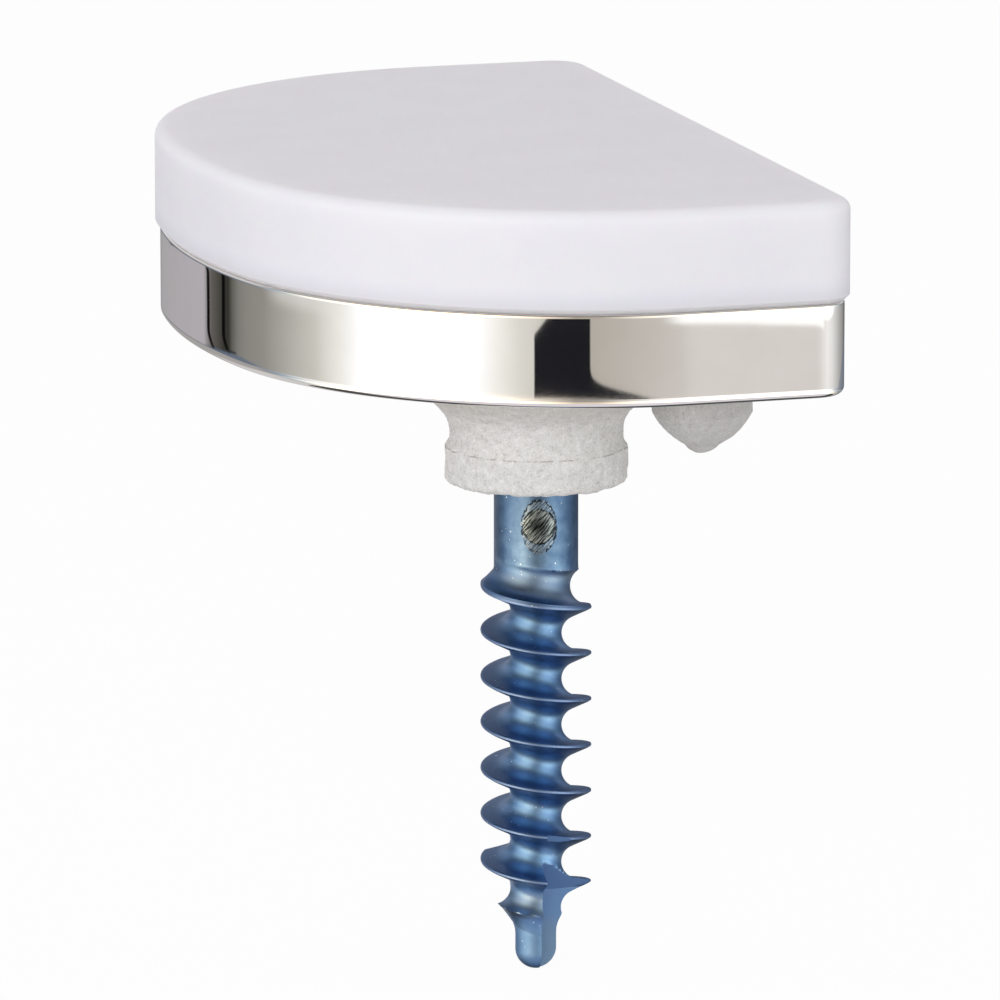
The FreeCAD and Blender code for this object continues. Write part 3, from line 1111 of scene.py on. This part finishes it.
def set_world():
    """Studio light: white to the camera. The object's own light comes mostly from the front
    left and level, less from above. Reflections that miss the curtain see a pale near half, a
    dark far half and dim ceiling tones."""
    world = bpy.data.worlds.new("studio")
    bpy.context.scene.world = world
    world.use_nodes = True
    tree = world.node_tree
    direction = node(tree, "TexCoord").outputs["Generated"]
    angle, split = round_the_object(tree, direction)
    level = by_place(tree, angle, wall_tones)
    above = steps(tree, split.outputs["Z"], 0.15, 0.9)
    light = mixed(tree, above, level, (0.525, 0.50, 0.508, 1))
    facing = steps(tree, split.outputs["X"], -0.25, 0.0)
    gloss = mixed(tree, facing, grey(0.07), (0.80, 0.77, 0.83, 1))
    high = steps(tree, split.outputs["Z"], 0.0, 0.1)
    gloss = mixed(tree, high, gloss, by_place(tree, angle, ceiling_tones))
    path = node(tree, "LightPath")
    seen = mixed(tree, path.outputs["Is Glossy Ray"], light, gloss)
    seen = mixed(tree, path.outputs["Is Camera Ray"], seen, (1, 1, 1, 1))
    fill(tree, tree.nodes["Background"], {"Color": seen})


def add_lamp(name, place, target, size, power):
    """Round lamp aimed at a target, unseen in reflections."""
    data = bpy.data.lights.new(name, "AREA")
    data.shape = "DISK"
    data.size = size * MM
    data.energy = power
    lamp = new_object(name, data)
    start, end = Vector(place) * MM, Vector(target) * MM
    lamp.location = start
    lamp.rotation_euler = (end - start).to_track_quat("-Z", "Y").to_euler()
    lamp.visible_glossy = False
    return lamp


def set_camera():
    """Camera on a sphere round the aim point."""
    azimuth, elevation = math.radians(view_azimuth), math.radians(view_elevation)
    back = Vector((
        math.sin(azimuth) * math.cos(elevation),
        -math.cos(azimuth) * math.cos(elevation),
        math.sin(elevation),
    ))
    aim = Vector(view_aim)
    data = bpy.data.cameras.new("camera")
    data.lens = view_lens
    data.sensor_width = 36.0
    data.clip_start = 0.05
    data.clip_end = 50.0
    camera = new_object("camera", data)
    turn = back.to_track_quat("Z", "Y").to_matrix().to_4x4()
    camera.matrix_world = Matrix.Translation((aim + back * view_distance) * MM) @ turn
    bpy.context.scene.camera = camera


# Tones on the curtain, by degrees to the right of the front and by height
room_tones = [
    (-180, (0.12, 0.15, 0.20, 1)), (-150, (0.10, 0.13, 0.18, 1)), (-116, (0.14, 0.18, 0.25, 1)),
    (-102, (0.42, 0.48, 0.56, 1)), (-88, grey(1.05)), (-68, grey(1.50, 0.10)),
    (-50, grey(2.00, 0.18)), (-34, grey(2.15, 0.20)), (-15, grey(1.05, 0.12)),
    (0, grey(0.36, 0.08)), (8, grey(0.38, 0.08)), (20, grey(0.85, 0.05)),
    (38, grey(1.50, 0.05)), (55, grey(1.65, 0.05)), (72, grey(1.30, 0.02)),
    (90, (0.62, 0.68, 0.76, 1)), (112, (0.28, 0.31, 0.36, 1)), (140, (0.17, 0.19, 0.23, 1)),
    (180, (0.12, 0.15, 0.20, 1)),
]
room_heights = [
    (curtain_low, (2.30, 2.05, 1.60, 1)), (-80, (2.40, 2.10, 1.65, 1)),
    (-64, (1.50, 1.42, 1.25, 1)), (-46, (1.75, 1.70, 1.55, 1)), (-38, grey(1.12)),
    (-31, grey(0.90)), (-15, grey(1.08)), (0, (1.40, 1.35, 1.20, 1)),
    (20, (1.20, 1.15, 1.00, 1)), (45, grey(0.50)), (curtain_high, grey(0.12)),
]
tray_tones = [
    (-180, grey(0.12)), (-157, srgb(172, 170, 173)), (-136, srgb(186, 181, 188)),
    (-134.4, srgb(106, 104, 101)), (-131, srgb(78, 76, 72)), (-128.8, srgb(46, 46, 42)),
    (-127.6, srgb(60, 60, 55)), (-126.3, srgb(116, 115, 110)), (-124.5, srgb(133, 132, 128)),
    (-120, srgb(145, 143, 139)), (-110, srgb(152, 150, 146)), (-87, srgb(212, 210, 204)),
    (-77, srgb(252, 251, 248)), (-70, (1.22, 1.24, 1.28, 1)), (-32, (1.22, 1.24, 1.28, 1)),
    (-24, srgb(255, 254, 250)), (-17, srgb(232, 230, 224)), (5, srgb(188, 183, 175)),
    (16, srgb(197, 192, 186)), (33, srgb(216, 211, 208)), (36, srgb(224, 220, 217)),
    (41, srgb(226, 221, 220)), (44, srgb(236, 232, 230)), (62, grey(0.98)), (78, grey(0.85)),
    (94, grey(0.64)), (110, grey(0.46)), (126, grey(0.34)), (145, grey(0.15)),
    (180, grey(0.12)),
]


def curtain_material():
    """Studio walls seen in the metal. Everywhere: two tall soft boxes to the left and right of
    the front between dim gaps, a pale backdrop high up behind, and pale tones on the far left
    above and below the band. The band is what the tray's upright wall shows. Its level rises
    behind the object with the square of one minus the cosine of the angle. It has finer tones:
    two thin dark uprights on the left that bend at both ends, dark lines along its edges there,
    a black opening in front with a cut corner and a sweeping foot, and a bright strip along
    the top right."""
    made, tree, shader = new_material("curtain")
    tree.nodes.remove(shader)
    angle, split = round_the_object(tree, object_place(tree))
    height = maths(tree, "DIVIDE", split.outputs["Z"], MM)
    cosine = maths(tree, "DIVIDE", split.outputs["X"], curtain_radius * MM)
    lift = maths(tree, "POWER", maths(tree, "SUBTRACT", 1.0, cosine), 2.0)
    level = maths(tree, "SUBTRACT", height, times(tree, lift, band_lift))

    colour = by_place(tree, angle, room_tones)
    colour = mixed(tree, 1.0, colour, by_place(tree, height, room_heights), "MULTIPLY")
    right, left = steps(tree, angle, 95.0, 125.0), steps(tree, angle, -150.0, -166.0)
    backdrop = times(tree, maths(tree, "MAXIMUM", right, left), steps(tree, height, 18.0, 27.0))
    colour = mixed(tree, backdrop, colour, (0.74, 0.71, 0.75, 1))
    far_left = steps(tree, angle, -104.0, -116.0)
    under = steps(tree, level, -20.9, -22.5)
    colour = mixed(tree, times(tree, far_left, under), colour, (0.40, 0.39, 0.39, 1))
    deep, high = steps(tree, height, -38.0, -56.0), steps(tree, height, -12.5, 0.0)
    pale = times(tree, far_left, maths(tree, "MAXIMUM", deep, high))
    colour = mixed(tree, pale, colour, (0.68, 0.66, 0.67, 1))

    band = by_place(tree, angle, tray_tones)
    top = steps(tree, level, -16.6, -15.2)
    glow = times(tree, top, inside(tree, angle, -106.0, -78.0, 12.0), 0.45)
    band = mixed(tree, glow, band, grey(0.95))
    edge = steps(tree, level, -15.55, -15.2)
    strip = times(tree, edge, inside(tree, angle, 30.0, 50.0, 9.0))
    band = mixed(tree, strip, band, grey(1.25))

    def line(middle, start, end, soft):
        along_edge = inside(tree, level, middle - line_half, middle + line_half, 0.06)
        return times(tree, along_edge, inside(tree, angle, start, end, soft))

    top_bend = maths(tree, "POWER", past(tree, level, upright_top, 1.0), 3.0)
    foot_bend = maths(tree, "POWER", past(tree, level, upright_foot, -upright_foot_span), 2.0)
    bent = maths(tree, "SUBTRACT", angle, times(tree, foot_bend, upright_foot_turn))
    for middle, turn in upright_places:
        place = maths(tree, "ADD", bent, times(tree, top_bend, turn))
        upright = inside(tree, place, middle - upright_half, middle + upright_half, 0.35)
        band = mixed(tree, upright, band, grey(0.004))
    top_line = line(top_line_level, -152.0, -138.0, 3.0)
    foot_line = line(foot_line_level, -128.5, -125.5, 1.5)
    band = mixed(tree, maths(tree, "MAXIMUM", top_line, foot_line), band, grey(0.03))

    sweep = maths(tree, "POWER", past(tree, level, sweep_level, -sweep_span), 4.0)
    right_edge = maths(tree, "SUBTRACT", angle, times(tree, sweep, sweep_turn))
    cut = times(tree, past(tree, level, cut_level, 1.0), cut_turn)
    left_edge = maths(tree, "SUBTRACT", angle, cut)
    opening = times(
        tree,
        steps(tree, left_edge, opening_left - 0.25, opening_left + 0.25),
        steps(tree, right_edge, opening_right + 0.25, opening_right - 0.25),
    )
    band = mixed(tree, opening, band, (0.014, 0.014, 0.018, 1))
    where = inside(tree, level, tray_band_low, tray_band_high, 0.12)
    colour = mixed(tree, where, colour, band)
    light = node(tree, "Emission", {"Color": colour, "Strength": 1.0})
    fill(tree, tree.nodes["Material Output"], {"Surface": light.outputs[0]})
    return made


def add_curtain():
    """Upright ring round the object that only its reflections see."""
    rings = turned_rings([(curtain_radius, curtain_low), (curtain_radius, curtain_high)], 180)
    mesh = new_mesh("curtain", *open_shell(rings), curtain_material())
    curtain = new_object("curtain", mesh)
    curtain.visible_camera = False
    curtain.visible_diffuse = False
    curtain.visible_shadow = False
    curtain.visible_transmission = False


bearing_insert(polyethylene())
tibial_tray(polished_alloy())
porous_coating(porous_metal())
fixation_screw(blue_anodised())

set_camera()
set_world()
floor = flat_plane("floor", floor_half, floor_z, floor_material())
floor.visible_glossy = False
add_curtain()
add_lamp("front lamp", place=(-250, -450, 300), target=(0, 10, 0), size=300, power=0.6)

bpy.context.scene.view_settings.view_transform = "Standard"
